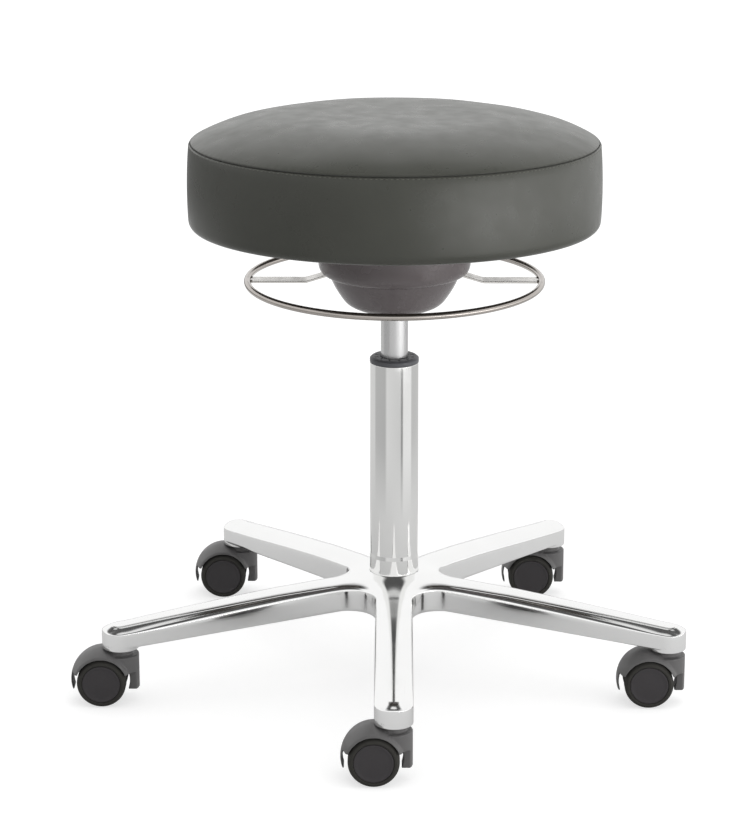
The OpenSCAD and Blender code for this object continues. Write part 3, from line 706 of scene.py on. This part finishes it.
def wheel_core():
    """A moulded wheel with a hub cap that has a shallow dish and a rim."""
    line = [(3.1, 6.5), (19.4, 6.5), (19.4, 22.4), (19.25, 22.9), (18.8, 23.15), (18.2, 23.2),
            (17.6, 23.1), (17.0, 22.9), (14, 22.75), (8, 22.9), (0, 23.0), (0, 20.4), (3.1, 20.4)]
    return turned(lathe("wheel_core", line, 128), 90, "X")


def wheel_tread():
    """A soft ring with rounded shoulders and a narrow step beside the hub cap."""
    line = rounded([(23.0, 6.6, 1.2), (25, 8.2, 2.0), (25, 19.6, 3.2), (22.4, 23.4, 2.4),
                    (20.2, 23.4, 0.4), (19.5, 22.4, 0)], 6)
    return turned(lathe("wheel_tread", [(19.5, 6.6)] + line, 128), 90, "X")


def copy_of(obj, name, place):
    """Another object with the same mesh."""
    made = bpy.data.objects.new(name, obj.data)
    scene.collection.objects.link(made)
    made.matrix_world = place
    return made


hood, tread, core = castor_hood(), wheel_tread(), wheel_core()
for k in range(1, ARMS + 1):
    angle = arm_angle(k - 1)
    stem = Matrix.Translation(Vector((TIP * math.cos(angle), TIP * math.sin(angle), 0)) * MM)
    dress(copy_of(hood, f"castor_hood_{k}_cover", stem), HOOD, f"castor_{k}", "hood_plastic",
          f"castor_hood_{k}")
    wheel = stem @ Matrix.Translation(Vector((WHEEL_X, 0, WHEEL_Z)) * MM)
    for side, place in (("front", wheel), ("back", wheel @ Matrix.Rotation(math.pi, 4, "Z"))):
        body = f"{side}_wheel_{k}"
        dress(copy_of(tread, f"tread_{side}_{k}", place), TREAD, body, "tread_grey",
              f"wheel_tread_{side}_{k}")
        dress(copy_of(core, f"core_{side}_{k}", place), CORE, body, "wheel_plastic",
              f"wheel_core_{side}_{k}")
for obj in (hood, tread, core):
    bpy.data.objects.remove(obj)


# Seat

SEAT_R, SEAM_R = 210.5, 208.5         # the side at its widest, and the seam
SIDE_BULGE, WIDEST = 2, 0.4           # how far the side swells, and at which share of its height
Z_SEAT, Z_SEAM, CROWN = 476.0, 564.0, 26.0
EDGE = 10.0                           # rounding of the lower edge
SHRINK = 1.6                          # the cover starts this much smaller, before it swells
RING = 224                            # points round the seat
TOP_RINGS = (8, 5.6, 3.7, 2.2, 1.0)   # rings just inside the seam, by their distance from it
HEM_RINGS = (194, 187, 180, 172, 164)
LAST_FRAME = 20
MOST_SWELL, EVEN_TIMES = 2.5, 10
PIVOT = Vector((0, 0, 0.456))         # the tilt's centre in metres
LEAN = (Matrix.Translation(PIVOT) @ Matrix.Rotation(math.radians(-2), 4, "X")
        @ Matrix.Translation(-PIVOT))

# How deep the cover is drawn in at the seam, and how wide: along the sewn line, in a soft hollow
# about it, and in the pucker at each stitch
SEWN_PULL, SEWN_WIDE = 1.2, 1.2
HOLLOW_PULL, HOLLOW_WIDE = 0.4, 5
PUCKER_PULL, PUCKER_WIDE = 0.12, 6
GROOVE_REACH = 16
STITCHES, STITCH_LENGTH, STITCH_DROP, STITCH_FAT = 262, 3.3, 2.7, 0.36


def side_radius(share):
    return SEAT_R - SIDE_BULGE * ((share - WIDEST) / (1 - WIDEST)) ** 2


def seat_rings(shrink):
    """Rings (radius, height) of the cover from the seam down the side and in under the board."""
    shares = [1, 0.988, 0.972, 0.95, 0.92, 0.88] + [0.82 - i * 0.082 for i in range(11)]
    rings = [(side_radius(s) - shrink, mix(Z_SEAT + EDGE, Z_SEAM, s)) for s in shares]
    centre_r = side_radius(0) - EDGE
    inner = EDGE - shrink
    for i in range(1, 7):
        a = math.radians(-90 * i / 6)
        rings.append((centre_r + inner * math.cos(a), Z_SEAT + EDGE + inner * math.sin(a)))
    return rings + [(r, Z_SEAT + shrink) for r in HEM_RINGS]


def top_height(r, shrink):
    share = min(r / (SEAM_R - shrink), 1)
    return Z_SEAM + (CROWN - shrink) * (1 - share ** 6)


def seat_shell(shrink):
    """A quad mesh: a square grid pressed into a disc for the top, then rings over the seam."""
    n = RING // 4
    points, faces, index = [], [], {}
    r = SEAM_R - shrink - TOP_RINGS[0]
    for j in range(n + 1):
        for i in range(n + 1):
            u, v = 2 * i / n - 1, 2 * j / n - 1
            x, y = u * math.sqrt(1 - v * v / 2), v * math.sqrt(1 - u * u / 2)
            index[i, j] = len(points)
            points.append((x * r, y * r, top_height(math.hypot(x, y) * r, shrink)))
    for j in range(n):
        for i in range(n):
            faces.append((index[i, j], index[i + 1, j], index[i + 1, j + 1], index[i, j + 1]))
    edge = [index[i, 0] for i in range(n)] + [index[n, j] for j in range(n)]
    edge += [index[n - i, n] for i in range(n)] + [index[0, n - j] for j in range(n)]
    angles = [math.atan2(points[v][1], points[v][0]) for v in edge]
    radii = [SEAM_R - shrink - d for d in TOP_RINGS[1:]]
    last = edge
    for r, z in [(r, top_height(r, shrink)) for r in radii] + seat_rings(shrink):
        ring = list(range(len(points), len(points) + RING))
        points += [(r * math.cos(a), r * math.sin(a), z) for a in angles]
        for k in range(RING):
            m = (k + 1) % RING
            faces.append((last[k], ring[k], ring[m], last[m]))
        last = ring
    return points, faces


def evened(mesh, moves, held, times):
    """The moves averaged over each point's neighbours, so that only broad soft forms stay."""
    near = [[] for _ in moves]
    for edge in mesh.edges:
        a, b = edge.vertices
        near[a].append(b)
        near[b].append(a)
    for _ in range(times):
        moves = [m if i in held else sum((moves[k] for k in near[i]), m.copy()) / (len(near[i]) + 1)
                 for i, m in enumerate(moves)]
    return moves


def swell(obj, held):
    """Blows the cover up a little, as its foam does, with the sewn and stapled lines held."""
    start = [v.co.copy() for v in obj.data.vertices]
    group = obj.vertex_groups.new(name="held")
    group.add(held, 1.0, "REPLACE")
    cloth = obj.modifiers.new("cloth", "CLOTH")
    settings = cloth.settings
    settings.quality = 6
    settings.mass = 0.4
    settings.tension_stiffness = settings.compression_stiffness = 18
    settings.shear_stiffness = 8
    settings.bending_stiffness = 2
    settings.vertex_group_mass = "held"
    settings.use_pressure = True
    settings.uniform_pressure_force = 4
    settings.effector_weights.gravity = 0
    cloth.collision_settings.use_collision = False
    cloth.point_cache.frame_start, cloth.point_cache.frame_end = 1, LAST_FRAME
    for f in range(1, LAST_FRAME + 1):
        scene.frame_set(f)
    blown = obj.evaluated_get(bpy.context.evaluated_depsgraph_get()).to_mesh()
    moves = [b.co - s for b, s in zip(blown.vertices, start)]
    moves = [m * min(1, MOST_SWELL * MM / max(m.length, 1e-9)) for m in moves]
    moves = evened(obj.data, moves, set(held), EVEN_TIMES)
    for v, s, m in zip(obj.data.vertices, start, moves):
        v.co = s + m
    obj.modifiers.clear()
    obj.vertex_groups.clear()
    scene.frame_set(1)


def groove(v):
    """Pulls the cover in along the sewn line, with a slight pucker at each stitch."""
    x, y, z = v.co / MM
    r, a = math.hypot(x, y), math.atan2(y, x)
    away = math.hypot(r - SEAM_R + SHRINK, z - Z_SEAM)
    if away > GROOVE_REACH or z < Z_SEAM - GROOVE_REACH:
        return

    def near(width):
        return math.exp(-(away / width) ** 2)

    pull = SEWN_PULL * near(SEWN_WIDE) + HOLLOW_PULL * near(HOLLOW_WIDE)
    pucker = PUCKER_PULL * math.sin(a * STITCHES / 2) * near(PUCKER_WIDE)
    dip = (pull + pucker) * MM
    v.co.x -= dip * x / r
    v.co.y -= dip * y / r
    v.co.z -= 0.5 * dip


def seat_cover():
    """The top and side cover as one cushion, swollen by its foam and drawn in at the seam."""
    cover = shape("seat_cushion", *seat_shell(SHRINK), 70)
    seam, hem = [], []
    for v in cover.data.vertices:
        r, z = math.hypot(v.co.x, v.co.y) / MM, v.co.z / MM
        if abs(z - Z_SEAM) < 0.4 and r > SEAM_R - 3:
            seam.append(v.index)
        if z < Z_SEAT + 2.5:
            hem.append(v.index)
    swell(cover, seam + hem)
    smooth = cover.modifiers.new("smooth", "SUBSURF")
    smooth.levels = smooth.render_levels = 1
    apply_modifiers(cover, 70)
    for v in cover.data.vertices:
        groove(v)
    return cover


def thread(line, fat):
    """Points and faces of one short thread along a line of points, thin at both ends."""
    points, faces = [], []
    across = 8
    for i, p in enumerate(line):
        out = Vector((p[0], p[1], 0)).normalized()
        size = fat * math.sqrt(max(1 - (2 * i / (len(line) - 1) - 1) ** 2, 0)) + 0.02
        for j in range(across):
            b = 2 * math.pi * j / across
            rise = Vector((0, 0, size * math.sin(b)))
            points.append(tuple(Vector(p) + out * size * math.cos(b) + rise))
    for i in range(len(line) - 1):
        here, ahead = i * across, (i + 1) * across
        for j in range(across):
            m = (j + 1) % across
            faces.append((here + j, here + m, ahead + m, ahead + j))
    return points, faces


def stitches(cover):
    """Short threads side by side on the cover, just under the seam."""
    sides = [p.vertices for p in cover.polygons]
    skin = BVHTree.FromPolygons([v.co for v in cover.vertices], sides)
    along = 9
    points, faces = [], []
    for k in range(STITCHES):
        line = []
        for i in range(along):
            t = i / (along - 1)
            a = 2 * math.pi * k / STITCHES + (t - 0.5) * STITCH_LENGTH / SEAM_R
            out = Vector((math.cos(a), math.sin(a), 0))
            start = out * 0.25 + Vector((0, 0, (Z_SEAM - STITCH_DROP) * MM))
            hit = skin.ray_cast(start, -out)[0] / MM
            line.append(hit + out * (0.3 * math.sin(math.pi * t) - 0.2))
        more, around = thread(line, STITCH_FAT)
        faces += [[v + len(points) for v in f] for f in around]
        points += more
    return shape("seat_stitches", points, faces, 60)


def painted_seam_shade():
    """Painted shade: a dark cord deep in the seam, where the two covers are sewn together, standing
    in for the shadow in the seam's gap.
    """
    return lathe("painted_seam_shade", circle(SEAM_R - SHRINK - 1.35, Z_SEAM - 0.6, 0.4, 30), 512)


cushion = seat_cover()
threads = stitches(cushion.data)
# The dark cord in the seam is painted shade, not a part of the cover.
seam_shade_cord = painted_seam_shade()
for obj in (cushion, threads, seam_shade_cord):
    obj.data.transform(LEAN)
dress(cushion, LEATHERETTE, "seat", "leatherette", "cover_top", "cover_side", "seat_foam")
dress(threads, THREAD, "seat", "leatherette")
dress(seam_shade_cord, SEAM_SHADE, "seat", "leatherette")


# Pieces that keep their own shape

KEPT = {
    "castor_stems": ZINC, "piston_rod": CHROME, "piston": RUBBER, "thrust_bearing": ZINC,
    "rod_clip": ZINC, "pressure_tube": PAINT, "tube_gland": RUBBER, "mech_socket": MECHANISM,
    "cover_screws": ZINC, "stop_ring": RUBBER, "rocker_pin": ZINC, "socket_bushes": RUBBER,
    "release_pin": ZINC, "release_rocker": ZINC, "gimbal_cross": MECHANISM, "gimbal_pins": ZINC,
    "seat_plate": PLATE, "plate_bushes": RUBBER, "seat_board": PLYWOOD, "seat_screws": ZINC,
}
KEPT.update({f"castor_axle_{k}": ZINC for k in range(1, ARMS + 1)})
for name, mat in KEPT.items():
    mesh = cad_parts[name].data
    mesh.materials.clear()
    mesh.materials.append(mat)
    mesh.polygons.foreach_set("material_index", [0] * len(mesh.polygons))


# Studio

# Grey levels of the world's gloss from the horizon (0) to the zenith (1): white walls, a dark band
# in the ceiling and a light overhead
SKY = [(0.0, 1.0), (1.0, 0.8), (0.77, 1.0), (0.86, 0.12), (0.95, 0.07), (0.98, 0.8)]
DARK_ROOM = grey(0.09)

# Grey levels of the floor's gloss round the object: 0.25 is towards the camera, 0.5 to the right.
# CARDS lies near, where the column and the base reflect it, and OUTER beyond, for the seat's side.
CARDS = [(0.0, 0.50), (1.0, 0.50), (0.13, 0.48), (0.155, 0.74), (0.33, 0.66), (0.343, 0.32),
         (0.357, 0.32), (0.37, 0.86), (0.48, 0.88), (0.50, 0.58), (0.66, 0.60), (0.70, 1.0),
         (0.80, 1.0), (0.84, 0.70), (0.96, 0.70), (0.985, 0.50)]
OUTER = [(0.0, 0.105), (1.0, 0.105), (0.15, 0.11), (0.25, 0.17), (0.29, 0.30), (0.34, 0.80),
         (0.39, 0.94), (0.45, 0.74), (0.51, 0.45), (0.60, 0.22), (0.66, 0.145), (0.74, 0.10),
         (0.84, 0.05), (0.91, 0.06)]
OUTER_LEVEL = 5.0

# The floor's zones in metres from the object's axis, with its matt grey, its grey in the gloss
# nearby, and the glow that makes it look white to the camera
FLOOR_HALF = 15
CARDS_START, OUTER_START = (0.60, 1.05), (2.04, 2.20)
FLOOR_GREY, NEAR_GLOSS = grey(0.5), grey(0.66)
WHITE_SPAN, WHITE_GLOW = (0.6, 3.0), (0.64, 0.78)


def seen_directly(add, path):
    """1 where the camera sees the surface itself, or through glass."""
    by_camera, through_glass = path.outputs["Is Camera Ray"], path.outputs["Is Transmission Ray"]
    return reckon(add, "MAXIMUM", by_camera, through_glass)


def world_light():
    """Soft even light on the object, and in its gloss a white studio with a dark ceiling band, a
    light overhead and a dark room on the viewer's side."""
    world = bpy.data.worlds.new("studio")
    scene.world = world
    add = empty_tree(world)
    place = add("ShaderNodeTexCoord").outputs["Generated"]
    parts = add("ShaderNodeSeparateXYZ", {"Vector": place}).outputs
    front = spread(add, parts["Y"], -0.25, -0.5)
    raised = spread(add, parts["Z"], 0.40, 0.52)
    dark = reckon(add, "MULTIPLY", front, raised)
    room = blend(add, dark, grey_ramp(add, parts["Z"], SKY), DARK_ROOM)
    path = add("ShaderNodeLightPath")
    ambient = spread(add, parts["Y"], -0.1, -0.9, 0.80, 0.34)
    plain = blend(add, seen_directly(add, path), ambient, grey(1))
    both = blend(add, path.outputs["Is Glossy Ray"], plain, room)
    sky = add("ShaderNodeBackground", {"Color": both})
    add("ShaderNodeOutputWorld", {"Surface": sky.outputs["Background"]})


def floor():
    """A pale floor that keeps the object's soft shadow and looks white to the camera. In gloss it
    is lighter and darker by turns round the object, as a studio floor with cards at its edge is."""
    half = FLOOR_HALF / MM
    obj = shape("floor", [(-half, -half, 0), (half, -half, 0), (half, half, 0), (-half, half, 0)],
                [(0, 1, 2, 3)])
    mat = bpy.data.materials.new("floor")
    add = empty_tree(mat)
    place = add("ShaderNodeTexCoord").outputs["Object"]
    around = add("ShaderNodeTexGradient", {"Vector": place}, gradient_type="RADIAL").outputs["Fac"]
    away = add("ShaderNodeVectorMath", {0: place}, operation="LENGTH").outputs["Value"]
    far = spread(add, away, *CARDS_START)
    path = add("ShaderNodeLightPath")
    in_gloss = path.outputs["Is Glossy Ray"]
    colour = blend(add, in_gloss, FLOOR_GREY, blend(add, far, NEAR_GLOSS, grey(0)))
    matt = add("ShaderNodeBsdfDiffuse", {"Color": colour})
    outside = reckon(add, "MULTIPLY", grey_ramp(add, around, OUTER), OUTER_LEVEL)
    beyond = spread(add, away, *OUTER_START)
    level = blend(add, beyond, grey_ramp(add, around, CARDS), outside)
    gloss = reckon(add, "MULTIPLY", reckon(add, "MULTIPLY", far, level), in_gloss)
    white = spread(add, away, *WHITE_SPAN, *WHITE_GLOW)
    shine = reckon(add, "MULTIPLY_ADD", seen_directly(add, path), white, gloss)
    glow = add("ShaderNodeEmission", {"Strength": shine})
    both = add("ShaderNodeAddShader", {0: matt.outputs[0], 1: glow.outputs[0]})
    add("ShaderNodeOutputMaterial", {"Surface": both.outputs[0]})
    obj.data.materials.append(mat)


def softbox(name, place, size, watts, target):
    """A flat light, turned to its target and left out of the gloss."""
    light = bpy.data.lights.new(name, "AREA")
    light.shape = "RECTANGLE"
    light.size, light.size_y = size
    light.energy = watts
    obj = bpy.data.objects.new(name, light)
    scene.collection.objects.link(obj)
    obj.location = place
    obj.rotation_euler = (Vector(target) - Vector(place)).to_track_quat("-Z", "Y").to_euler()
    obj.visible_glossy = False


SENSOR = 36
FOCAL_SHARE = 3043.3 / 821                  # focal length by the picture's height, in its pixels
CAMERA_PLACE = (0, -3.0, 1.169)
CAMERA_DOWN, CAMERA_LEFT = 0.2872, 0.0066   # the turns from a level view, in radians


def camera():
    """The photograph's view: 3 metres in front, looking 16.5 degrees down, with a long lens."""
    view = bpy.data.cameras.new("camera")
    view.lens = FOCAL_SHARE * SENSOR
    view.sensor_width = view.sensor_height = SENSOR
    view.sensor_fit = "VERTICAL"
    view.clip_end = 100
    obj = bpy.data.objects.new("camera", view)
    scene.collection.objects.link(obj)
    obj.location = CAMERA_PLACE
    obj.rotation_euler = (math.radians(90) - CAMERA_DOWN, 0, CAMERA_LEFT)
    scene.camera = obj


world_light()
floor()
softbox("side", place=(1.95, -1.30, 0.55), size=(2.8, 1.0), watts=28, target=(0, 0, 0.50))
softbox("top", place=(0.2, 0.1, 2.7), size=(2.6, 2.6), watts=26, target=(0, 0, 0.35))
camera()
scene.view_settings.view_transform = "Standard"
